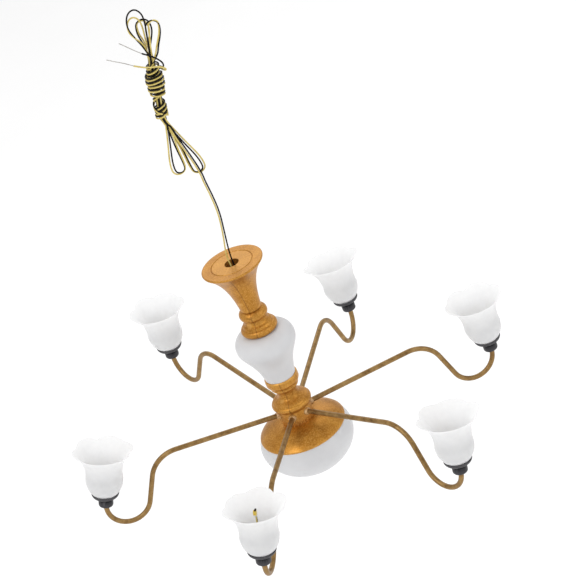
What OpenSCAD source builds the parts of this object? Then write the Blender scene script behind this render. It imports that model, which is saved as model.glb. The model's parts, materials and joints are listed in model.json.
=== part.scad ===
// Miniature six-arm chandelier for a 1:12 doll's house room, in millimetres.
// +Z is up along the stem. The origin is the centre of the canopy's flat top face,
// which sits against the ceiling, so the lamp hangs below it and its leads rise above it.

/* [Canopy] */
// Radius of the flat face against the ceiling
canopy_r = 7; // [6.8:0.1:7.4]
// Depth of the trumpet below the ceiling face
trumpet_h = 11.3; // [11:0.1:11.5]
// Radius of the neck below the trumpet
neck_r = 2.3; // [2.2:0.05:2.4]
// Radius of the hole that the leads come out of
wire_hole_r = 1.65; // [1.5:0.05:1.8]

/* [Vase] */
// Largest outside radius of the glass vase
vase_r = 6.87; // [6.7:0.01:7]
// Outside radius of the vase's foot
vase_foot_r = 3.45; // [3.4:0.01:3.5]
// Wall of the vase
vase_wall = 0.7; // [0.6:0.05:0.8]

/* [Hub] */
// Radius of the hub's widest disc
hub_disc_r = 4.62; // [4.5:0.01:4.8]
// Radius of the wall that the arms enter
hub_socket_r = 3.85; // [3.8:0.01:3.9]
// Number of teeth on the knurled ring
knurl_teeth = 28; // [20:1:32]

/* [Bowl] */
// Largest outside radius of the glass bowl
bowl_r = 10.85; // [10.7:0.01:11]
// Depth of the bowl below its widest level
bowl_depth = 8; // [7.5:0.1:8.5]
// Wall of the bowl
bowl_wall = 0.7; // [0.6:0.05:0.8]
// Rim radius of the domed cap over the bowl
cap_r = 10.05; // [10:0.01:10.1]

/* [Arms] */
// Outside diameter of the arm tube
arm_d = 1.15; // [1.1:0.01:1.2]
// Inside diameter of the arm tube
arm_bore = 0.78; // [0.76:0.01:0.82]
// Slope of the straight run above level
arm_rise = 6; // [5:0.5:7]
// Length of the straight run outside the hub
arm_run = 25; // [24:0.1:26]
// Bend radius over the hump
hump_r = 6.8; // [6.5:0.1:7]
// Slope of the drop below level
arm_dip = 66; // [64:1:68]
// Length of the straight drop
arm_drop = 6.4; // [6:0.1:6.8]
// Bend radius of the trough under the cup
trough_r = 5; // [4.8:0.1:5.2]

/* [Shades] */
// Height of a shade above its seat
shade_h = 11.4; // [11:0.1:11.8]
// Radius of a shade's barrel
barrel_r = 4.2; // [4:0.05:4.3]
// Mean radius of a shade's mouth
mouth_r = 6.2; // [6:0.05:6.4]
// Number of petals on a shade
petals = 6; // [5:1:7]
// Wall of a shade
shade_wall = 0.45; // [0.4:0.05:0.5]
// Outside radius of the black cup's saucer
saucer_r = 3.1; // [3:0.05:3.2]

/* [Leads] */
// Outside diameter of an insulated lead
lead_d = 0.34; // [0.3:0.01:0.4]
// Diameter of a lead's bare conductor
wire_d = 0.18; // [0.15:0.01:0.22]

/* [Hidden] */
$fn = 72;

// Each arm was bent on one former and glued in by hand, so each has its own
// yaw, pitch and roll about the straight run, and its own final bend past upright.
arm_yaw = [118, 64, 6, -53, -109.5, -174.5];
arm_pitch = [8.5, -1.5, -5.5, -1.5, 0.5, 3];
arm_roll = [4, -1.5, -0.5, -7.5, -11.5, 0];
arm_lean = [-4.5, -2.5, 5.5, -0.5, 5.5, 16.5];
ARMS = [1:6];
root_r = 3.3;
root_z = -40;

// Levels down the stem
bead_z = -13.2;
flange_z = -17.9;
vase_foot_z = -30.9;
collar_z = -30.4;
socket_top_z = -38.7;
hub_base_z = -41.5;
cap_top_z = -42.35;
bowl_rim_z = -45.3;
bowl_mid_z = -48;

// Small clearances: glued or push-fitted faces, and the shade's slide
fit_gap = 0.02;
slide_gap = 0.04;
// Straights lap the bends by this much, and are thicker all round by this step
lap = 0.05;
lap_step = 0.001;

stem_bore_r = 1.12;
tube_r = stem_bore_r - fit_gap;
tube_bore_r = 0.75;
tube_top_z = -4;
tube_base_z = -38.4;
cavity_r = 1.9;
spigot_r = 1.9;
spigot_h = 0.6;
collar_wall = 0.35;

// Cup, in its own frame: z = 0 at the bottom, the shade's seat at seat_h
collar_r = 1.65;
seat_h = 2.75;
plug_r = 1.2;
plug_h = 0.7;
holder_r = 0.9;
tube_in_cup = 1.2;

// Lamp: a chip on its two leads. One stands higher in its shade than the others
chip_w = 0.8;
chip_h = 1.6;
chip_t = 0.4;
lens_t = 0.3;
lamp_z = [5.6, 5.6, 5.6, 5.6, 8.8, 5.6];
fine_d = 0.3;
fine_offset = 0.17;
lead_turn_r = 1.35;
lead_turn_h = 1;
splice_r = 1.6;
black_splice_z = [-39.5, -38.45];
yellow_splice_z = [-42.3, -41];

// Lead routes from just inside the canopy's hole, and the stripped ends
lead_gap = 0.35;
lead_start_z = -1;
black_route = [[lead_gap, 0, lead_start_z], [lead_gap, 0, 0], [0.4, 0, 1.5], [0.6, 0, 3.5], [1, 0, 6],
               [1.4, 0, 8.5], [1.8, 0, 11], [2, 0, 13.5], [2, 0, 16], [1.9, 0, 18.5], [1.8, 0, 20.5],
               [1.8, 0, 22.6]];
yellow_route = [[-lead_gap, 0, lead_start_z], [-lead_gap, 0, 0], [-0.4, 0, 1.5], [-0.1, 0, 3.5], [0.5, 0, 6],
                [1, 0, 8.5], [1.4, 0, 11], [1.6, 0, 13.5], [1.6, 0, 16], [1.5, 0, 18.5], [1.4, 0, 20.5],
                [1.4, 0, 22.9]];
yellow_tail_route = [[0.4, -1.6, 49.2], [-0.4, -1.9, 49.7], [-1.3, -2, 50.3], [-2.2, -2, 50.9]];
black_tip_route = [[0.3, -1.6, 52.5], [-0.9, -1.9, 53.9], [-2, -2.1, 55.3], [-3.1, -2.2, 56.6]];
yellow_tip_route = [[-2.2, -2, 50.9], [-3.7, -2.1, 52.2], [-5.2, -2.2, 53.3], [-6.7, -2.4, 54.5]];
lead_rings = 26;
tail_rings = 6;
hank_t = 4;

function numbered(stem) = [for (i = ARMS) str(stem, i)];

// ---- outlines ----
function arc(cx, cz, r, a0, a1, n) =
    [for (i = [0:n]) let (a = a0 + (a1 - a0) * i / n) [cx + r * cos(a), cz + r * sin(a)]];
function bezier_at(p0, p1, p2, p3, t) =
    let (u = 1 - t) u^3 * p0 + 3 * u^2 * t * p1 + 3 * u * t^2 * p2 + t^3 * p3;
function bezier(p0, p1, p2, p3, n) = [for (i = [0:n]) bezier_at(p0, p1, p2, p3, i / n)];
function trumpet(n) =
    [for (i = [0:n]) let (d = trumpet_h * i / n, flare = exp(-d / 4.5))
        [neck_r - 0.3 + (canopy_r - neck_r + 0.2) * flare, -0.5 - d]];
// Upright oval outline of the bowl, from its rim down to the bottom
function bowl_side(r, up, down, from, n) =
    [for (i = [0:n]) let (a = from - (from + 90) * i / n)
        [max(0, r * cos(a)), bowl_mid_z + (a > 0 ? up : down) * sin(a)]];
vase_side = concat(bezier([3.3, flange_z], [5.6, flange_z], [vase_r, -19.1], [vase_r, -21], 14),
                   bezier([vase_r, -21], [vase_r, -23.2], [4.2, -24.6], [vase_foot_r, vase_foot_z], 18));

// ---- one smooth tube along a list of points, for leads that lie free ----
function catmull(p0, p1, p2, p3, t) =
    0.5 * (2 * p1 + (p2 - p0) * t + (2 * p0 - 5 * p1 + 4 * p2 - p3) * t^2
    + (3 * p1 - p0 - 3 * p2 + p3) * t^3);
function along(route, s) =
    let (last = len(route) - 1, i = min(floor(s * last), last - 1), t = s * last - i)
    catmull(route[max(i - 1, 0)], route[i], route[i + 1], route[min(i + 2, last)], t);
function unit(v) = v / norm(v);
module swept(route, d, rings) {
    sides = 8;
    step = 0.01;
    ends = [for (k = [0:rings]) k / rings];
    points = [for (s = ends) let (
                  heading = unit(along(route, min(s + step, 1)) - along(route, max(s - step, 0))),
                  u = unit(cross([0, 1, 0], heading)),
                  v = cross(heading, u))
              for (a = [0:360 / sides:359]) along(route, s) + d / 2 * (cos(a) * u + sin(a) * v)];
    caps = [[for (j = [sides - 1:-1:0]) j], [for (j = [0:sides - 1]) rings * sides + j]];
    skin = [for (k = [0:rings - 1], j = [0:sides - 1]) let (n = (j + 1) % sides)
            [k * sides + j, k * sides + n, (k + 1) * sides + n, (k + 1) * sides + j]];
    polyhedron(points = points, faces = [for (f = concat(caps, skin)) [for (i = [len(f) - 1:-1:0]) f[i]]]);
}

// ---- the arm's own frame: +X runs out along the straight run ----
module at_arm(i) {
    translate([0, 0, root_z])
        rotate([0, 0, arm_yaw[i - 1]])
        translate([root_r, 0, 0])
        rotate([0, -(arm_rise + arm_pitch[i - 1]), 0])
        rotate([arm_roll[i - 1], 0, 0])
        children();
}
module after_bend(angle, bend_r) {
    side = angle > 0 ? 1 : -1;
    translate([bend_r * sin(abs(angle)), 0, side * bend_r * (1 - cos(angle))])
        rotate([0, -angle, 0])
        children();
}
// A straight stretch of wire, or of tube where it has a bore
module run(length, r, bore, offset) {
    translate([0, 0, offset])
        rotate([0, 90, 0])
        linear_extrude(length)
        section(r, bore);
}
// A bend, a hair thinner than the straights that lap over its ends
module bend(angle, bend_r, r, bore, offset) {
    side = angle > 0 ? 1 : -1;
    translate([0, 0, side * bend_r])
        mirror([0, 0, angle > 0 ? 0 : 1])
        rotate([0, 90, 0])
        rotate([90, 0, 0])
        rotate_extrude(angle = abs(angle))
        translate([bend_r - side * offset, 0])
        section(r - lap_step, bore > 0 ? bore + lap_step : 0);
}
module section(r, bore) {
    difference() {
        circle(r = r);
        if (bore > 0) circle(r = bore);
    }
}
module after_hump() {
    translate([arm_run, 0, 0])
        after_bend(-(arm_rise + arm_dip), hump_r)
        children();
}
module at_cup(i) {
    at_arm(i)
        after_hump()
        translate([arm_drop, 0, 0])
        after_bend(arm_dip + 90 + arm_lean[i - 1], trough_r)
        rotate([0, 90, 0])
        children();
}
// The arm's route as one solid: back is the length inside the hub, ahead the length past the last bend
module route(i, r, bore, offset, back, ahead) {
    at_arm(i) {
        translate([-back, 0, 0])
            run(back + arm_run + lap, r, bore, offset);
        translate([arm_run, 0, 0])
            bend(-(arm_rise + arm_dip), hump_r, r, bore, offset);
        after_hump() {
            translate([-lap, 0, 0])
                run(arm_drop + 2 * lap, r, bore, offset);
            translate([arm_drop, 0, 0])
                bend(arm_dip + 90 + arm_lean[i - 1], trough_r, r, bore, offset);
        }
    }
    at_cup(i)
        translate([-offset, 0, -lap])
        linear_extrude(ahead + lap)
        section(r, bore);
}

// ---- stem ----
module canopy() {
    ring_r = 4.7;
    ring_depth = 0.12;
    color("goldenrod")
        rotate_extrude()
        polygon(concat(
            [[wire_hole_r, tube_top_z], [wire_hole_r, 0]],
            [[ring_r - 0.15, 0], [ring_r, -ring_depth], [ring_r + 0.15, 0]],
            arc(canopy_r - 0.25, -0.25, 0.25, 90, -20, 6),
            trumpet(22),
            arc(neck_r - 0.35, bead_z, 1.3, 76, -62, 16),
            [[neck_r + 0.35, -14.6], [neck_r + 0.4, -15], [neck_r + 0.6, -15.35]],
            [[3.3, -15.6], [3.4, -15.85]],
            arc(3.3, -17, 0.88, 74, -62, 14),
            [[3.55, flange_z], [spigot_r, flange_z], [spigot_r, flange_z - spigot_h]],
            [[stem_bore_r, flange_z - spigot_h], [stem_bore_r, tube_top_z]]));
}
module centre_tube() {
    color("darkgoldenrod")
        translate([0, 0, tube_base_z])
        difference() {
            cylinder(r = tube_r, h = tube_top_z - tube_base_z);
            translate([0, 0, -1])
                cylinder(r = tube_bore_r, h = tube_top_z - tube_base_z + 2);
        }
}
module vase() {
    lip_z = flange_z - vase_wall;
    inside = [for (p = vase_side) if (p[1] < lip_z && p[0] - vase_wall > spigot_r) [p[0] - vase_wall, p[1]]];
    color("white")
        rotate_extrude()
        polygon(concat(
            [[spigot_r + fit_gap, flange_z]],
            vase_side,
            [for (i = [len(inside) - 1:-1:0]) inside[i]],
            [[inside[0][0] - 0.3, lip_z], [spigot_r + fit_gap, lip_z]]));
}
// Outside of the hub, without its sockets and bores
module hub_body() {
    rotate_extrude()
        polygon(concat(
            [[0, hub_base_z], [0, vase_foot_z]],
            [[vase_foot_r + fit_gap, vase_foot_z], [vase_foot_r + fit_gap, collar_z]],
            [[vase_foot_r + 0.2, collar_z], [vase_foot_r + collar_wall, collar_z - 0.2]],
            [[3.86, -31.2], [3.84, -31.9], [3.6, -32.35], [3.15, -32.5]],
            [[3.25, -32.7], [3.25, -33.2], [3.05, -33.5], [2.65, -33.75]],
            bezier([2.6, -33.8], [2.25, -34.4], [2.15, -35.8], [3, -36.15], 8),
            [[4.1, -36.75]],
            arc(hub_disc_r - 0.75, -37.7, 0.75, 62, -55, 10),
            [[hub_socket_r + 0.1, socket_top_z + 0.1], [hub_socket_r, socket_top_z - 0.2]],
            [[hub_socket_r - 0.1, hub_base_z]]));
}
module hub() {
    color("goldenrod")
        difference() {
            hub_body();
            translate([0, 0, tube_base_z])
                cylinder(r = stem_bore_r, h = vase_foot_z - tube_base_z + 1);
            translate([0, 0, hub_base_z - 1])
                cylinder(r = cavity_r, h = tube_base_z - hub_base_z + 1);
            for (i = ARMS)
                at_arm(i)
                    translate([-root_r + 1, 0, 0])
                    run(root_r, arm_d / 2 + fit_gap, 0, 0);
        }
}
module knurled_ring() {
    notch = 0.25;
    corners = 4 * knurl_teeth;
    outline = [for (k = [0:corners - 1])
        let (a = 360 * k / corners, r = hub_socket_r - (k % 4 < 2 ? 0 : notch)) [r * cos(a), r * sin(a)]];
    color("gold")
        translate([0, 0, cap_top_z])
        difference() {
            linear_extrude(hub_base_z - cap_top_z)
                polygon(outline);
            translate([0, 0, -1])
                cylinder(r = cavity_r, h = 3);
        }
}
module bowl_cap() {
    sheet = 0.5;
    color("goldenrod")
        rotate_extrude()
        polygon(concat(
            [[0, cap_top_z - sheet], [0, cap_top_z], [3.9, cap_top_z]],
            bezier([4, cap_top_z - 0.01], [6.3, -42.5], [8.7, -43.4], [cap_r - 0.05, -44.95], 18),
            [[cap_r, -45.1], [cap_r - 0.05, bowl_rim_z], [9.3, bowl_rim_z]],
            bezier([9.3, bowl_rim_z + 0.1], [8.3, -44], [6, -43.05], [3.9, cap_top_z - sheet], 14)));
}
module bowl() {
    rise = bowl_rim_z - bowl_mid_z;
    upper = 6.8;
    outside = bowl_side(bowl_r, upper, bowl_depth, asin(rise / upper), 30);
    inside = bowl_side(bowl_r - bowl_wall, upper, bowl_depth - bowl_wall, asin(rise / upper), 30);
    color("white")
        rotate_extrude()
        polygon(concat(outside, [for (i = [len(inside) - 1:-1:0]) inside[i]]));
}

// ---- arms and lamps ----
module arm(i) {
    color("peru")
        route(i, arm_d / 2, arm_bore / 2, 0, root_r - cavity_r, tube_in_cup);
}
// A bead of clear glue round each arm where it enters the hub
module arm_glue() {
    bead_r = 0.9;
    color("burlywood")
        for (i = ARMS)
            difference() {
                at_arm(i)
                    translate([hub_socket_r - root_r, 0, -0.1])
                    sphere(r = bead_r);
                at_arm(i)
                    translate([-root_r, 0, 0])
                    run(2 * root_r, arm_d / 2, 0, 0);
                translate([0, 0, hub_base_z])
                    cylinder(r = hub_socket_r, h = socket_top_z - hub_base_z);
            }
}
module cup(i) {
    tube_hole_r = arm_d / 2 + fit_gap;
    color([0.16, 0.15, 0.17])
        at_cup(i)
        rotate_extrude()
        polygon(concat(
            [[tube_hole_r, 0], [0.9, 0]],
            arc(collar_r - 0.6, 0.6, 0.6, -80, 0, 6),
            [[collar_r, 1.75], [collar_r - 0.12, 1.85], [collar_r, 1.95]],
            bezier([collar_r + 0.05, 2.1], [2.3, 2.3], [saucer_r - 0.1, 2.6], [saucer_r, 3.35], 8),
            [[saucer_r - 0.08, 3.45], [saucer_r - 0.2, 3.42]],
            bezier([saucer_r - 0.25, 3.35], [saucer_r - 0.35, 3.05], [2.5, seat_h + 0.03], [2, seat_h], 6),
            [[plug_r + slide_gap, seat_h], [plug_r + slide_gap, seat_h - plug_h - 0.1]],
            [[tube_hole_r, seat_h - plug_h - 0.1]]));
}
// The shade's skin: radius and height at a level s (0 at the seat, 1 at the rim) and turn a
function shade_side(s) =
    s < 0.34 ? bezier_at([1.9, 0], [2.9, 0.5], [barrel_r - 0.1, 1.9], [barrel_r, 4.2], s / 0.34)
    : s < 0.62 ? let (t = (s - 0.34) / 0.28) [barrel_r - 0.12 * sin(180 * t), 4.2 + 2.8 * t]
    : let (t = (s - 0.62) / 0.38) [barrel_r + (mouth_r - barrel_r) * t^1.6, 7 + (shade_h - 7.6) * t];
function petal(s, a) =
    let (t = max(0, (s - 0.55) / 0.45), w = cos(petals * a)) [0.75 * t^1.5 * w, 0.6 * t^2 * w];
module shade(i) {
    turns = 5 * petals;
    levels = 11;
    outside = [for (k = [0:levels]) k / levels];
    rings = concat(
        [for (s = outside) [shade_side(s), s]],
        [for (k = [levels:-1:2]) let (s = k / levels) [shade_side(s) + [-shade_wall, 0], s]],
        [[[plug_r - 0.25, 0.6], 0], [[holder_r, 0.5], 0], [[holder_r, -plug_h], 0]],
        [[[plug_r, -plug_h], 0], [[plug_r, 0], 0]]);
    count = len(rings);
    points = [for (q = rings, j = [0:turns - 1])
        let (a = 360 * j / turns, p = q[0] + petal(q[1], a)) [p[0] * cos(a), p[0] * sin(a), p[1]]];
    faces = [for (k = [0:count - 1], j = [0:turns - 1]) let (m = (k + 1) % count, n = (j + 1) % turns)
        let (from = k * turns + j, across = m * turns + n)
        for (f = [[from, across, k * turns + n], [from, m * turns + j, across]]) f];
    color("whitesmoke")
        at_cup(i)
        translate([0, 0, seat_h])
        polyhedron(points = points, faces = faces);
}
module lamp(i) {
    color("khaki")
        at_cup(i)
        translate([0, 0, seat_h + lamp_z[i - 1] + chip_h / 2]) {
            cube([chip_w, chip_t, chip_h], center = true);
            translate([0, -chip_t / 2 - lens_t / 2, 0])
                cube([chip_w * 0.8, lens_t, chip_h * 0.6], center = true);
        }
}
// A lamp's lead runs through the arm into the hub, where it turns up or down to its splice
module lamp_lead(i, offset, tint) {
    turn_r = fine_d / 2 + lap_step;
    turn_back = fine_d / 2 + 5 * lap_step;
    color(tint) {
        route(i, fine_d / 2, 0, offset, root_r - lead_turn_r, seat_h + lamp_z[i - 1]);
        at_arm(i)
            translate([lead_turn_r - root_r, 0, offset])
            rotate([-arm_roll[i - 1], 0, 0])
            rotate([0, arm_rise + arm_pitch[i - 1], 0])
            mirror([0, 0, offset > 0 ? 0 : 1])
            translate([0, 0, -turn_back])
            cylinder(r = turn_r, h = turn_back + lead_turn_h);
    }
}

// ---- leads ----
module splice(levels) {
    translate([0, 0, levels[0]])
        cylinder(r = splice_r, h = levels[1] - levels[0]);
}
// The yellow lead passes through the black splice on its way up
module black_splice() {
    color("dimgray")
        difference() {
            splice(black_splice_z);
            translate([-lead_gap, 0, black_splice_z[0] - 1])
                cylinder(r = lead_d / 2 + fit_gap, h = 4);
        }
}
module yellow_splice() {
    color("darkkhaki")
        splice(yellow_splice_z);
}
module inner_lead(x, base_z, tint) {
    color(tint)
        translate([x, 0, base_z])
        cylinder(d = lead_d, h = lead_start_z - base_z);
}
module black_lead() {
    color("black")
        swept(black_route, lead_d, lead_rings);
}
module yellow_lead() {
    color("khaki")
        swept(yellow_route, lead_d, lead_rings);
}
module yellow_tail() {
    color("khaki")
        swept(yellow_tail_route, lead_d, tail_rings);
}
module black_tip() {
    color("silver")
        swept(black_tip_route, wire_d, tail_rings);
}
module yellow_tip() {
    color("silver")
        swept(yellow_tip_route, wire_d, tail_rings);
}
module pill(p, q, rp, rq) {
    hull() {
        translate(p)
            circle(r = rp, $fn = 32);
        translate(q)
            circle(r = rq, $fn = 32);
    }
}
// Outer shape of the spare length: loops below and above a wrapped waist
module lead_hank() {
    color("darkkhaki")
        rotate([90, 0, 0])
        translate([0, 0, -hank_t / 2])
        linear_extrude(hank_t) {
            pill([-2.1, 25.4], [-1, 36], 1.4, 0.9);
            pill([1.7, 23.8], [-0.9, 37], 1.5, 1);
            pill([-0.8, 38.2], [-0.4, 41], 1.7, 1.4);
            pill([0.3, 43], [1, 47.5], 2.2, 2.2);
            pill([1.5, 50], [1.4, 58.9], 0.9, 2.2);
            pill([1.7, 50], [4.1, 56.6], 0.9, 2);
        }
}

canopy();
centre_tube();
vase();
hub();
knurled_ring();
bowl_cap();
bowl();
arm_glue();
for (i = ARMS) arm(i);
for (i = ARMS) cup(i);
for (i = ARMS) shade(i);
for (i = ARMS) lamp(i);
for (i = ARMS) lamp_lead(i, fine_offset, "black");
for (i = ARMS) lamp_lead(i, -fine_offset, "khaki");
black_splice();
yellow_splice();
inner_lead(lead_gap, black_splice_z[1], "black");  // black_inner_lead
inner_lead(-lead_gap, yellow_splice_z[1], "khaki");  // yellow_inner_lead
black_lead();
yellow_lead();
lead_hank();
yellow_tail();
black_tip();
yellow_tip();
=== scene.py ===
"""A doll's house ceiling chandelier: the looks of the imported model.

Its own shapes are worked out in mm and scaled by MM. The floor and the lights are in metres.
"""
import json
import math
import bpy
from mathutils import Matrix, Vector


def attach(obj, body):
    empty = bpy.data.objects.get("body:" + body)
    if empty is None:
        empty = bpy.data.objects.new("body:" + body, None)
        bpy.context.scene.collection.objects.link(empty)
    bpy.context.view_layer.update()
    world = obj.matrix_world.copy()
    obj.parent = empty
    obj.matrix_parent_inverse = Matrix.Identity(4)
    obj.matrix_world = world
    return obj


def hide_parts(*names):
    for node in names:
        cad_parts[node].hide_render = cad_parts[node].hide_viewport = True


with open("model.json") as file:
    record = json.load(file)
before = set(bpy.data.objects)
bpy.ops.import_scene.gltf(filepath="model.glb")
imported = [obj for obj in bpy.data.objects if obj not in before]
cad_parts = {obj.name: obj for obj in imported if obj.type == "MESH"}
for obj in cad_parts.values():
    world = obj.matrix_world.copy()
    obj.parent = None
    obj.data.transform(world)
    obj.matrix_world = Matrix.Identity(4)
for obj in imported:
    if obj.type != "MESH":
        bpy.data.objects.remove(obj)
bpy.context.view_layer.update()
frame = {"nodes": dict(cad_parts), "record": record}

MM = 0.001
ARMS = range(1, 7)
ROOT_BODY = "chandelier"


# ---- camera ----
CAMERA_ELEVATION = math.radians(28.9)
CAMERA_ROLL = math.radians(-22.9)
CAMERA_TARGET = Vector((9.05, 0, -11.05)) * MM
CAMERA_DISTANCE = 441 * MM
SENSOR_WIDTH_MM = 36
FOCAL_LENGTH_MM = 127.06


def make_camera():
    """The photograph's view: from the front (-Y) and above, with the frame rolled."""
    ahead = Vector((0, math.cos(CAMERA_ELEVATION), -math.sin(CAMERA_ELEVATION)))
    level = Vector((1, 0, 0))
    rise = Vector((0, math.sin(CAMERA_ELEVATION), math.cos(CAMERA_ELEVATION)))
    right = math.cos(CAMERA_ROLL) * level + math.sin(CAMERA_ROLL) * rise
    up = math.cos(CAMERA_ROLL) * rise - math.sin(CAMERA_ROLL) * level
    data = bpy.data.cameras.new("camera")
    data.sensor_width = SENSOR_WIDTH_MM
    data.lens = FOCAL_LENGTH_MM
    data.clip_start = 0.01
    data.clip_end = 20
    camera = bpy.data.objects.new("camera", data)
    bpy.context.collection.objects.link(camera)
    turn = Matrix((right, up, -ahead)).transposed().to_4x4()
    camera.matrix_world = Matrix.Translation(CAMERA_TARGET - CAMERA_DISTANCE * ahead) @ turn
    bpy.context.scene.camera = camera


make_camera()


# ---- materials ----
class Paint:
    """One node material: a Principled shader, and short calls that join nodes to it."""

    def __init__(self, name, **constants):
        self.material = bpy.data.materials.new(name)
        self.material.use_nodes = True
        self.tree = self.material.node_tree
        self.shader = self.tree.nodes["Principled BSDF"]
        for socket, value in constants.items():
            self.shader.inputs[socket.replace("_", " ")].default_value = value
        self.place = self.tree.nodes.new("ShaderNodeTexCoord").outputs["Object"]

    def node(self, kind, **settings):
        made = self.tree.nodes.new(kind)
        for key, value in settings.items():
            setattr(made, key, value)
        return made

    def join(self, a, b):
        self.tree.links.new(a, b)

    def noise(self, size_mm, detail=3, rough=0.55):
        made = self.node("ShaderNodeTexNoise")
        made.inputs["Scale"].default_value = 1 / (size_mm * MM)
        made.inputs["Detail"].default_value = detail
        made.inputs["Roughness"].default_value = rough
        self.join(self.place, made.inputs["Vector"])
        return made.outputs["Fac"]

    def ramp(self, value, *stops):
        """stops are (position, colour) pairs."""
        made = self.node("ShaderNodeValToRGB")
        line = made.color_ramp.elements
        while len(line) < len(stops):
            line.new(0.5)
        for element, (at, colour) in zip(line, stops):
            element.position = at
            element.color = (*colour, 1)
        self.join(value, made.inputs["Fac"])
        return made.outputs["Color"]

    def span(self, value, low, high, to_low, to_high):
        """value mapped from low..high to to_low..to_high."""
        made = self.node("ShaderNodeMapRange")
        limits = {"From Min": low, "From Max": high, "To Min": to_low, "To Max": to_high}
        for socket, number in limits.items():
            made.inputs[socket].default_value = number
        self.join(value, made.inputs["Value"])
        return made.outputs["Result"]

    def blend(self, factor, a, b):
        """a mixed with b by factor. Each is a number, a colour or a node's output."""
        made = self.node("ShaderNodeMix", data_type="RGBA", blend_type="MIX")
        for socket, value in zip((made.inputs[0], made.inputs[6], made.inputs[7]), (factor, a, b)):
            if isinstance(value, (int, float)):
                socket.default_value = value
            elif isinstance(value, tuple):
                socket.default_value = (*value, 1)
            else:
                self.join(value, socket)
        return made.outputs[2]

    def maths(self, kind, a, b=0.0):
        made = self.node("ShaderNodeMath", operation=kind)
        for socket, value in zip(made.inputs, (a, b)):
            if isinstance(value, (int, float)):
                socket.default_value = value
            else:
                self.join(value, socket)
        return made.outputs[0]

    def bump(self, height, depth_mm, strength=1.0):
        made = self.node("ShaderNodeBump")
        made.inputs["Distance"].default_value = depth_mm * MM
        made.inputs["Strength"].default_value = strength
        self.join(height, made.inputs["Height"])
        self.join(made.outputs["Normal"], self.shader.inputs["Normal"])

    def edge_sharpness(self):
        """High on sharp outer edges, low in hollows."""
        return self.node("ShaderNodeNewGeometry").outputs["Pointiness"]

    def colour(self, value):
        self.join(value, self.shader.inputs["Base Color"])

    def roughness(self, value, low, high):
        """Roughness from low to high, as value goes through a noise's usual range."""
        self.join(self.span(value, 0.3, 0.7, low, high), self.shader.inputs["Roughness"])


def gilt(name="gilt", seam=False):
    """Satin gold paint with fine flakes. seam draws the mould's parting line down the stem."""
    p = Paint(name, Metallic=0.65, IOR=1.45)
    mottle = p.noise(3.5, 3)
    flake = p.noise(0.34, 3, 0.7)
    body = p.ramp(mottle, (0.3, (0.36, 0.145, 0.012)), (0.5, (0.44, 0.185, 0.018)),
                  (0.7, (0.52, 0.235, 0.028)))
    body = p.blend(p.span(flake, 0.46, 0.72, 0.0, 0.6), body, (0.78, 0.43, 0.11))
    body = p.blend(p.span(flake, 0.48, 0.30, 0.0, 0.35), body, (0.24, 0.09, 0.008))
    # painted highlight: lighter gold along sharp outer edges
    body = p.blend(p.span(p.edge_sharpness(), 0.51, 0.57, 0.0, 0.45), body, (0.74, 0.41, 0.11))
    # painted shade: darker gold in hollows, grooves and creases
    body = p.blend(p.span(p.edge_sharpness(), 0.49, 0.44, 0.0, 0.45), body, (0.20, 0.065, 0.006))
    if seam:
        split = p.node("ShaderNodeSeparateXYZ")
        p.join(p.place, split.inputs[0])
        # the parting plane holds the Z axis and stands 16 degrees off the YZ plane
        lean = math.radians(16)
        off = p.maths("ADD", p.maths("MULTIPLY", split.outputs["Y"], math.sin(lean)),
                      p.maths("MULTIPLY", split.outputs["X"], -math.cos(lean)))
        line = p.span(p.maths("ABSOLUTE", off), 0.05 * MM, 0.13 * MM, 0.6, 0.0)
        below = p.span(split.outputs["Z"], -0.3 * MM, -0.6 * MM, 0.0, 1.0)
        body = p.blend(p.maths("MULTIPLY", line, below), body, (0.16, 0.055, 0.01))
    p.colour(body)
    p.roughness(flake, 0.30, 0.46)
    p.bump(p.blend(0.2, flake, mottle), 0.045, 0.6)
    return p.material


def milk_glass():
    p = Paint("milk_glass", IOR=1.45, Coat_Weight=0.12, Coat_Roughness=0.3, Subsurface_Weight=0.3,
              Subsurface_Scale=1.2 * MM, Subsurface_Radius=(1.0, 0.97, 0.94))
    cloud = p.noise(6, 2)
    p.colour(p.ramp(cloud, (0.3, (0.60, 0.60, 0.612)), (0.7, (0.65, 0.65, 0.66))))
    p.roughness(p.noise(1.5, 3), 0.44, 0.54)
    p.bump(p.noise(2.4, 2), 0.02, 0.25)
    return p.material


def aged_brass():
    p = Paint("aged_brass", Metallic=0.8)
    stain = p.noise(1.6, 5, 0.65)
    speck = p.noise(0.22, 3, 0.7)
    body = p.ramp(stain, (0.28, (0.15, 0.080, 0.026)), (0.48, (0.28, 0.165, 0.058)),
                  (0.7, (0.40, 0.255, 0.100)))
    body = p.blend(p.span(speck, 0.55, 0.75, 0.0, 0.6), body, (0.13, 0.072, 0.028))
    p.colour(body)
    p.roughness(stain, 0.32, 0.50)
    p.bump(speck, 0.018, 0.5)
    return p.material


def black_cup():
    p = Paint("black_cup", IOR=1.5, Specular_IOR_Level=0.2)
    cloud = p.noise(1.1, 4)
    body = p.ramp(cloud, (0.3, (0.008, 0.008, 0.010)), (0.7, (0.020, 0.019, 0.024)))
    # lighter grey along sharp outer edges
    body = p.blend(p.span(p.edge_sharpness(), 0.51, 0.56, 0.0, 0.5), body, (0.12, 0.115, 0.125))
    p.colour(body)
    p.roughness(p.noise(0.3, 4), 0.34, 0.52)
    p.bump(p.noise(0.2, 3), 0.02, 0.5)
    return p.material


def frosted():
    """Frosted white plastic, thin enough that light comes through it."""
    p = Paint("frosted", IOR=1.4, Specular_IOR_Level=0.35, Subsurface_Weight=0.9, Subsurface_Scale=3.5 * MM,
              Subsurface_Radius=(1.0, 0.98, 0.96))
    cloud = p.noise(2.6, 4)
    p.colour(p.ramp(cloud, (0.3, (0.69, 0.69, 0.70)), (0.7, (0.745, 0.745, 0.75))))
    p.roughness(p.noise(0.25, 4), 0.52, 0.68)
    p.bump(p.blend(0.4, p.noise(0.3, 2), cloud), 0.03, 0.4)
    return p.material


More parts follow.
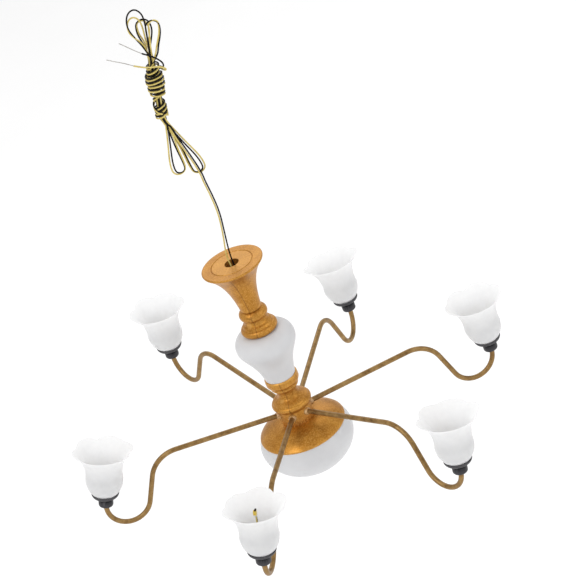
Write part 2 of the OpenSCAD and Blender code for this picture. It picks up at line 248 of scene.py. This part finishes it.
def glue():
    p = Paint("glue", IOR=1.47, Coat_Weight=0.5, Coat_Roughness=0.08)
    cloud = p.noise(0.8, 4)
    p.colour(p.ramp(cloud, (0.3, (0.34, 0.16, 0.045)), (0.7, (0.66, 0.42, 0.18))))
    p.roughness(p.noise(0.3, 3), 0.16, 0.34)
    p.bump(p.noise(0.5, 4), 0.12, 0.8)
    return p.material


def insulation(name, dark, light):
    p = Paint(name, IOR=1.5, Specular_IOR_Level=0.12)
    p.colour(p.ramp(p.noise(1.4, 3), (0.3, dark), (0.7, light)))
    p.roughness(p.noise(0.5, 3), 0.30, 0.46)
    p.bump(p.noise(0.15, 3), 0.012, 0.5)
    return p.material


def tinned():
    p = Paint("tinned", Metallic=1.0)
    p.colour(p.ramp(p.noise(0.5, 4), (0.3, (0.30, 0.28, 0.26)), (0.7, (0.62, 0.60, 0.57))))
    p.roughness(p.noise(0.2, 3), 0.26, 0.44)
    p.bump(p.noise(0.1, 3), 0.012, 0.6)
    return p.material


def phosphor():
    p = Paint("phosphor", IOR=1.5, Coat_Weight=0.3)
    p.colour(p.ramp(p.noise(0.3, 3), (0.3, (0.62, 0.40, 0.02)), (0.7, (0.88, 0.66, 0.10))))
    p.roughness(p.noise(0.15, 3), 0.25, 0.4)
    p.bump(p.noise(0.12, 2), 0.015, 0.5)
    return p.material


GILT = gilt()
GILT_SEAM = gilt("gilt_seam", seam=True)
MILK = milk_glass()
BRASS = aged_brass()
CUP = black_cup()
FROSTED = frosted()
GLUE = glue()
BLACK = insulation("black_insulation", (0.004, 0.003, 0.003), (0.010, 0.007, 0.006))
YELLOW = insulation("yellow_insulation", (0.56, 0.43, 0.11), (0.74, 0.61, 0.22))
TINNED = tinned()
PHOSPHOR = phosphor()


# ---- leads ----
def catmull(points, per_span):
    """A smooth line through points: per_span short steps between each pair."""
    line = [Vector(p) for p in points]
    out = []
    for k in range(len(line) - 1):
        p0, p1, p2, p3 = line[max(k - 1, 0)], line[k], line[k + 1], line[min(k + 2, len(line) - 1)]
        for step in range(per_span):
            t = step / per_span
            out.append(0.5 * (2 * p1 + (p2 - p0) * t + (2 * p0 - 5 * p1 + 4 * p2 - p3) * t**2
                              + (3 * p1 - p0 - 3 * p2 + p3) * t**3))
    return out + [line[-1]]


LEAD_D = 0.34
LEAD_X = 0.35       # each lead's distance from the middle of the canopy's hole
LOOP_GAP = 0.2      # and from the line between the two leads, in the loops
# From inside the hole up to the hank
BLACK_ROUTE = [(LEAD_X, 0, -1), (LEAD_X, 0, 0), (0.4, 0, 1.5), (0.6, 0, 3.5), (1, 0, 6), (1.4, 0, 8.5),
               (1.8, 0, 11), (2, 0, 13.5), (2, 0, 16), (1.9, 0, 18.5), (1.8, 0, 20.5), (1.8, 0, 22.6)]
YELLOW_ROUTE = [(-LEAD_X, 0, -1), (-LEAD_X, 0, 0), (-0.4, 0, 1.5), (-0.1, 0, 3.5), (0.5, 0, 6),
                (1, 0, 8.5), (1.4, 0, 11), (1.6, 0, 13.5), (1.6, 0, 16), (1.5, 0, 18.5), (1.4, 0, 20.5),
                (1.4, 0, 22.9)]
# The middle line of the wrapped waist: (level, x)
WAIST = [(35.5, -0.75), (37, -1.0), (39, -0.75), (41, -0.3), (44, 0.35), (47, 0.85), (49, 1.3), (51.5, 1.7)]


def fold(x, y, z, r, side):
    """The round end of a loop, half a circle about (x, z): over it for side 1, under it for side -1."""
    return [(x - r * math.cos(math.radians(a)), y, z + side * r * math.sin(math.radians(a)))
            for a in (0, 45, 90, 135, 180)]


# The loops of the spare length, in the order the pair was folded, as the line between the two leads
TOP_LEFT = [(1.2, -0.3, 53.4), (0.3, -0.4, 55.8), (-0.2, -0.3, 58), (0.6, -0.1, 60.1), (2.1, 0.1, 60.6),
            (3.1, 0.2, 59.2), (2.9, 0.3, 56.8), (2.2, 0.3, 53.8)]
BOTTOM_LEFT = [(-1.5, -0.3, 33.2), (-2.4, -0.5, 30), (-3.1, -0.5, 27.4), *fold(-2.05, -0.5, 25.4, 1.25, -1),
               (-0.8, -0.2, 27.4), (-0.9, 0, 30), (-0.8, 0.1, 33.2)]
TOP_MIDDLE = [(1.5, 0.9, 53.2), (1.2, 1.2, 55.2), *fold(2.65, 1.3, 56.7, 1.3, 1), (3.8, 1.2, 55.2),
              (2.7, 0.9, 53.2)]
BOTTOM_RIGHT = [(-0.5, 0.9, 33), (-0.1, 1.1, 29.5), (0, 1.1, 26), *fold(1.45, 1, 23.4, 1.3, -1),
                (2.4, 0.8, 26), (1.2, 0.8, 29.5), (0.1, 0.8, 33)]
TOP_RIGHT = [(2.3, -0.8, 53), (2.8, -1, 55), *fold(4.45, -1, 56.7, 1.25, 1), (5.2, -0.9, 54.8),
             (3.9, -0.8, 52.6), (2.9, -1, 50.8)]
BLACK_TAIL = [(3.3, -1.2, 48), (3.4, -2, 49.3), (2.2, -2, 51), (0.3, -1.6, 52.5)]
YELLOW_TAIL = [(3.4, -1.3, 47.1), (3.5, -2.2, 47.9), (2.4, -2.3, 48.8), (1.3, -1.9, 49), (0.4, -1.6, 49.2),
               (-0.4, -1.9, 49.7), (-1.3, -2, 50.3), (-2.2, -2, 50.9)]
WRAP_PITCH = 0.92   # of the outer layer of turns; the yellow lead lies half of it below the black
# In the waist, three strands can run inside and nine around them
INNER_STRANDS, INNER_RADIUS = 3, 0.22
OUTER_STRANDS, OUTER_RADIUS = 9, 0.6


def waist_x(z):
    """Where the waist's middle line stands at level z."""
    for (z0, x0), (z1, x1) in zip(WAIST, WAIST[1:]):
        if z <= z1:
            return x0 + (x1 - x0) * max(0, z - z0) / (z1 - z0)
    return WAIST[-1][1]


def through_waist(place, upward):
    """One pass of a lead through the waist. place is the strand's number, the inner ones first."""
    if place < INNER_STRANDS:
        radius, angle = INNER_RADIUS, 120 * place
    else:
        radius, angle = OUTER_RADIUS, 360 / OUTER_STRANDS * (place - INNER_STRANDS) + 20
    x, y = radius * math.cos(math.radians(angle)), radius * math.sin(math.radians(angle))
    levels = (37, 39.5, 42, 44.5, 47, 49.5)
    points = [(waist_x(z) + x, y, z) for z in levels]
    return points if upward else points[::-1]


def wraps(shift):
    """The binding turns: down the upper waist, round its foot, and back up over the first layer."""
    turn_steps = 16
    radius_wave, level_wave = 0.07, 0.16
    # each stretch: from level, to level, turns, radius
    stretches = [(49.2, 43.4, 5.75, 1.3), (43.4, 40.4, 1, 1.15), (40.4, 37.8, 3, 1.25), (37.8, 42.8, 1, 1.4),
                 (42.8, 47.4, 5, 1.85)]
    points, angle, radius = [], -math.pi / 2, stretches[0][3]
    for z0, z1, turns, r in stretches:
        steps = round(turns * turn_steps)
        for k in range(1, steps + 1):
            t = k / steps
            radius += (r - radius) * min(1, 4 / steps)
            angle -= math.tau / turn_steps
            uneven = 1 + radius_wave * math.sin(0.61 * angle)
            z = z0 + (z1 - z0) * t + shift + level_wave * math.cos(1.13 * angle)
            points.append((waist_x(z) + radius * uneven * math.cos(angle),
                           radius * uneven * math.sin(angle), z))
    return points


def beside(points, gap, spread):
    """points moved sideways by gap, and by up to spread (x, z) at the loop's far end."""
    line = [Vector(p) for p in points]
    out = []
    for k, p in enumerate(line):
        heading = line[min(k + 1, len(line) - 1)] - line[max(k - 1, 0)]
        away = math.sin(math.pi * k / (len(line) - 1))
        out.append(p + gap * Vector((-heading.z, 0, heading.x)).normalized()
                   + away * Vector((spread[0], 0, spread[1])))
    return out


def lead_line(start, tail, gap, places, shift, spreads):
    """A lead from the canopy's hole through its loops and turns to its bare end. places are its strands."""
    loops = [TOP_LEFT, BOTTOM_LEFT, TOP_MIDDLE, BOTTOM_RIGHT, TOP_RIGHT]
    smooth_steps, relax_rounds = 6, 6
    points = list(start)
    points += [(0.9 + gap, 0.2, 27), (0.1 + gap, 0.2, 31), (-0.4 + gap, 0.1, 34.5)]
    for k, loop in enumerate(loops):
        points += through_waist(places[k], k % 2 == 0)
        points += beside(loop, gap, spreads[k])
    points += wraps(shift)
    points += tail
    return relax(catmull(points, smooth_steps), relax_rounds)


def relax(line, rounds):
    """Eases the kinks out of a line, and keeps its two ends."""
    for _ in range(rounds):
        line = [line[0]] + [(a + 2 * b + c) / 4 for a, b, c in zip(line, line[1:], line[2:])] + [line[-1]]
    return line


def make_lead(name, line_mm, material, replaced):
    line = [p * MM for p in line_mm]
    data = bpy.data.curves.new(name, "CURVE")
    data.dimensions = "3D"
    data.bevel_depth = LEAD_D / 2 * MM
    data.bevel_resolution = 3
    data.use_fill_caps = True
    spline = data.splines.new("POLY")
    spline.points.add(len(line) - 1)
    for point, place in zip(spline.points, line):
        point.co = (*place, 1)
    spline.use_smooth = True
    lead = bpy.data.objects.new(name, data)
    bpy.context.collection.objects.link(lead)
    data.materials.append(material)
    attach(lead, ROOT_BODY)
    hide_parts(*replaced)


# how far each loop of either lead stands off the line between them
BLACK_SPREADS = [(0.1, 0.4), (0.1, 0), (0, 0), (0, 0), (-0.1, -0.1)]
YELLOW_SPREADS = [(-0.6, -0.7), (-0.2, 0.2), (-0.2, 0.2), (0.2, 0.2), (0.3, 0.2)]
black_line = lead_line(BLACK_ROUTE, BLACK_TAIL, LOOP_GAP, [0, 3, 5, 7, 9], 0, BLACK_SPREADS)
yellow_line = lead_line(YELLOW_ROUTE, YELLOW_TAIL, -LOOP_GAP, [1, 4, 6, 8, 10], -WRAP_PITCH / 2,
                        YELLOW_SPREADS)
make_lead("black_lead_wound", black_line, BLACK, ["black_lead", "lead_hank"])
make_lead("yellow_lead_wound", yellow_line, YELLOW,
          ["yellow_lead", "yellow_tail"])


# ---- CAD nodes that keep their shape ----
CAD_CREASE = math.radians(32)


def paint(node, material):
    """Gives a CAD node its material, with smooth faces between its sharp edges."""
    piece = frame["nodes"][node]
    piece.data.materials.clear()
    piece.data.materials.append(material)
    for face in piece.data.polygons:
        face.use_smooth = True
    piece.data.set_sharp_from_angle(angle=CAD_CREASE)


LOOKS = {
    "canopy": GILT_SEAM, "hub": GILT_SEAM, "knurled_ring": GILT, "bowl_cap": GILT, "vase": MILK, "bowl": MILK,
    "arm_glue": GLUE, "centre_tube": BRASS, "black_splice": BLACK, "yellow_splice": YELLOW,
    "black_inner_lead": BLACK, "yellow_inner_lead": YELLOW, "black_tip": TINNED, "yellow_tip": TINNED,
}
for node, material in LOOKS.items():
    paint(node, material)
for i in ARMS:
    paint(f"arm_{i}", BRASS)
    paint(f"cup_{i}", CUP)
    paint(f"black_lamp_lead_{i}", BLACK)
    paint(f"yellow_lamp_lead_{i}", YELLOW)


# ---- shades ----
SHADE_H, BARREL_R, MOUTH_R, SHADE_WALL, RIM_WALL, PETALS = 11.4, 4.2, 6.2, 0.45, 0.2, 6
PLUG_R, PLUG_H, HOLDER_R = 1.2, 0.7, 0.9
# A shade's side runs from s = 0 at its foot to s = 1 at its rim, in three parts: foot, barrel and flare
FOOT_PART, BARREL_PART, FLARE_PART = 0.34, 0.28, 0.38
BARREL_Z, BARREL_H, BARREL_WAIST = 4.2, 2.8, 0.12
PETAL_START = 0.55      # s where the petals begin to part
THIN_START = 0.6        # s where the wall begins to thin
INNER_START = 0.18      # s where the inner wall begins, above the thick foot
SHADE_CREASE = math.radians(50)


def cup_frame(i):
    """The shade's own frame: z = 0 on its seat, +Z up its joint's axis, and -Y towards its lamp's lens."""
    joint = next(j for j in frame["record"]["behaviour"]["joints"] if j["name"] == f"shade_{i}_lift")
    axis = Vector(joint["axis"]).normalized()
    verts = [v.co for v in frame["nodes"][f"shade_{i}"].data.vertices]
    lowest = min(v.dot(axis) for v in verts)
    plug_face = 0.05 * MM
    plug = [v for v in verts if v.dot(axis) < lowest + plug_face]
    foot = sum(plug, Vector()) / len(plug)
    chip = [v.co for v in frame["nodes"][f"lamp_{i}"].data.vertices]
    lens = sum(chip, Vector()) / len(chip) - foot
    back = -(lens - lens.dot(axis) * axis).normalized()
    turn = Matrix((back.cross(axis), back, axis)).transposed().to_4x4()
    return Matrix.Translation(foot + PLUG_H * MM * axis) @ turn


def lamp_height(i, seat):
    """How far a lamp's foot stands above its shade's seat, in mm."""
    into_seat = seat.inverted()
    return min((into_seat @ v.co).z for v in frame["nodes"][f"lamp_{i}"].data.vertices) / MM


def bezier_at(p0, p1, p2, p3, t):
    u = 1 - t
    return tuple(u**3 * a + 3 * u**2 * t * b + 3 * u * t**2 * c + t**3 * d
                 for a, b, c, d in zip(p0, p1, p2, p3))


def shade_side(s):
    """The side's radius and height at s, without its petals."""
    if s < FOOT_PART:
        return bezier_at((1.9, 0), (2.9, 0.5), (BARREL_R - 0.1, 1.9), (BARREL_R, BARREL_Z), s / FOOT_PART)
    if s < FOOT_PART + BARREL_PART:
        t = (s - FOOT_PART) / BARREL_PART
        return BARREL_R - BARREL_WAIST * math.sin(math.pi * t), BARREL_Z + BARREL_H * t
    t = (s - FOOT_PART - BARREL_PART) / FLARE_PART
    return BARREL_R + (MOUTH_R - BARREL_R) * t**1.6, 7 + (SHADE_H - 7.6) * (1.3 * t - 0.3 * t**3)


def petal(s, a, i):
    """How far the petals stand out and up: broad uneven lobes with narrow notches."""
    t = max(0, (s - PETAL_START) / (1 - PETAL_START))
    wave = 2 * abs(math.cos(PETALS / 2 * a))**0.9 - 1
    uneven = 1 + 0.3 * math.sin(2 * a + 1.7 * i) + 0.2 * math.sin(3 * a + i)
    lean = 0.1 * math.sin(a - 1.02 * i)
    return t**1.8 * (0.34 * wave * uneven + 0.32), t**2 * (0.2 * wave * uneven + 0.34 + lean)


def shade_mesh(i):
    """One closed skin, in rings: up the outer wall, over the rim, down the inner wall, round the plug."""
    turns, levels, lip = 30 * PETALS, 56, 6
    rings = [(*shade_side(k / levels), k / levels) for k in range(levels + 1)]
    rim_r, rim_z = shade_side(1)
    for k in range(1, lip):      # the rounded rim
        a = math.pi * k / lip
        rings.append((rim_r - RIM_WALL / 2 * (1 - math.cos(a)), rim_z + 0.5 * RIM_WALL * math.sin(a), 1))
    for k in range(levels, round(levels * INNER_START), -1):
        s = k / levels
        r, z = shade_side(s)
        thinned = max(0, (s - THIN_START) / (1 - THIN_START))
        rings.append((r - SHADE_WALL + (SHADE_WALL - RIM_WALL) * thinned, z, s))
    rings += [(PLUG_R - 0.25, 0.6, 0), (HOLDER_R, 0.5, 0), (HOLDER_R, -PLUG_H, 0), (PLUG_R, -PLUG_H, 0),
              (PLUG_R, 0, 0)]
    verts = []
    for r, z, s in rings:
        for j in range(turns):
            a = 2 * math.pi * j / turns
            out, up = petal(s, a, i)
            verts.append(Vector(((r + out) * math.cos(a), (r + out) * math.sin(a), z + up)) * MM)
    count = len(rings)
    faces = []
    for k in range(count):
        m = (k + 1) % count
        for j in range(turns):
            n = (j + 1) % turns
            faces.append((k * turns + j, k * turns + n, m * turns + n, m * turns + j))
    mesh = bpy.data.meshes.new(f"shade_{i}_petals")
    mesh.from_pydata(verts, [], faces)
    for face in mesh.polygons:
        face.use_smooth = True
    mesh.set_sharp_from_angle(angle=SHADE_CREASE)
    return mesh


def make_shade(i):
    mesh = shade_mesh(i)
    mesh.materials.append(FROSTED)
    mesh.transform(cup_frame(i))
    shade = bpy.data.objects.new(f"shade_{i}_petals", mesh)
    bpy.context.collection.objects.link(shade)
    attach(shade, f"shade_{i}")
    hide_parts(f"shade_{i}")


# ---- lamps ----
CHIP_H, CHIP_W, CHIP_T, LENS_T = 1.6, 0.8, 0.4, 0.3
END_H = 0.28        # the height of a chip's soldered foot, and of its dark top


def block(mesh_verts, mesh_faces, low, high, bevel, slot, slots):
    """Adds a block with cut edges to a mesh's lists of vertices, faces and material slots."""
    start = len(mesh_verts)
    rings = []
    for z, inset in ((low[2], bevel), (low[2] + bevel, 0), (high[2] - bevel, 0), (high[2], bevel)):
        x0, x1, y0, y1 = low[0] + inset, high[0] - inset, low[1] + inset, high[1] - inset
        rings.append([(x0 + bevel, y0, z), (x1 - bevel, y0, z), (x1, y0 + bevel, z), (x1, y1 - bevel, z),
                      (x1 - bevel, y1, z), (x0 + bevel, y1, z), (x0, y1 - bevel, z), (x0, y0 + bevel, z)])
    for ring in rings:
        mesh_verts.extend(Vector(p) * MM for p in ring)
    sides = 8
    for k in range(len(rings) - 1):
        for j in range(sides):
            n = (j + 1) % sides
            mesh_faces.append((start + k * sides + j, start + k * sides + n,
                               start + (k + 1) * sides + n, start + (k + 1) * sides + j))
            slots.append(slot)
    mesh_faces.append(tuple(start + j for j in reversed(range(sides))))
    mesh_faces.append(tuple(start + (len(rings) - 1) * sides + j for j in range(sides)))
    slots.extend((slot, slot))


def make_lamp(i):
    """A small chip lamp: a yellow body and lens, a soldered foot and a dark top."""
    yellow, dark, solder = range(3)
    verts, faces, slots = [], [], []
    seat = cup_frame(i)
    foot = lamp_height(i, seat)
    top = foot + CHIP_H
    x, y, low, high = CHIP_W / 2, CHIP_T / 2, foot + END_H, top - END_H
    block(verts, faces, (-x, -y, low), (x, y, high), 0.04, yellow, slots)
    block(verts, faces, (-x, -y, foot), (x, y, low), 0.05, solder, slots)
    block(verts, faces, (-x, -y, high), (x, y, top), 0.05, dark, slots)
    block(verts, faces, (-x, -y - LENS_T, low), (x, -y, high), 0.08, yellow, slots)
    mesh = bpy.data.meshes.new(f"lamp_{i}_chip")
    mesh.from_pydata(verts, [], faces)
    for material in (PHOSPHOR, BLACK, TINNED):
        mesh.materials.append(material)
    for face, number in zip(mesh.polygons, slots):
        face.material_index = number
    mesh.transform(seat)
    lamp = bpy.data.objects.new(f"lamp_{i}_chip", mesh)
    bpy.context.collection.objects.link(lamp)
    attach(lamp, ROOT_BODY)
    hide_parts(f"lamp_{i}")


for i in ARMS:
    make_shade(i)
    make_lamp(i)


# ---- floor and light ----
def make_floor():
    """A plain pale floor below the lamp, far enough down to keep low views clear of it."""
    half, drop = 6.0, 0.45
    mesh = bpy.data.meshes.new("floor")
    mesh.from_pydata([(-half, -half, -drop), (half, -half, -drop), (half, half, -drop), (-half, half, -drop)],
                     [], [(0, 1, 2, 3)])
    p = Paint("floor", Roughness=0.9, Emission_Color=(1, 1, 1, 1), Emission_Strength=0.1)
    p.colour(p.ramp(p.noise(90, 2), (0.3, (0.975, 0.975, 0.975)), (0.7, (0.99, 0.99, 0.99))))
    mesh.materials.append(p.material)
    floor = bpy.data.objects.new("floor", mesh)
    bpy.context.collection.objects.link(floor)


def make_light(name, place, power, size):
    data = bpy.data.lights.new(name, "AREA")
    data.energy = power
    data.size = size
    light = bpy.data.objects.new(name, data)
    light.location = place
    light.rotation_euler = (-Vector(place)).to_track_quat("-Z", "Y").to_euler()
    bpy.context.collection.objects.link(light)


make_floor()
make_light("key", (-0.7, -0.6, 1.0), 5, 0.7)
make_light("fill", (0.9, -0.7, 0.5), 2, 0.8)
make_light("back", (0.2, 1.0, 0.7), 2, 0.8)
world = bpy.data.worlds.new("studio")
world.use_nodes = True
world.node_tree.nodes["Background"].inputs["Color"].default_value = (1, 1, 1, 1)
world.node_tree.nodes["Background"].inputs["Strength"].default_value = 0.8
bpy.context.scene.world = world
bpy.context.scene.view_settings.view_transform = "Standard"
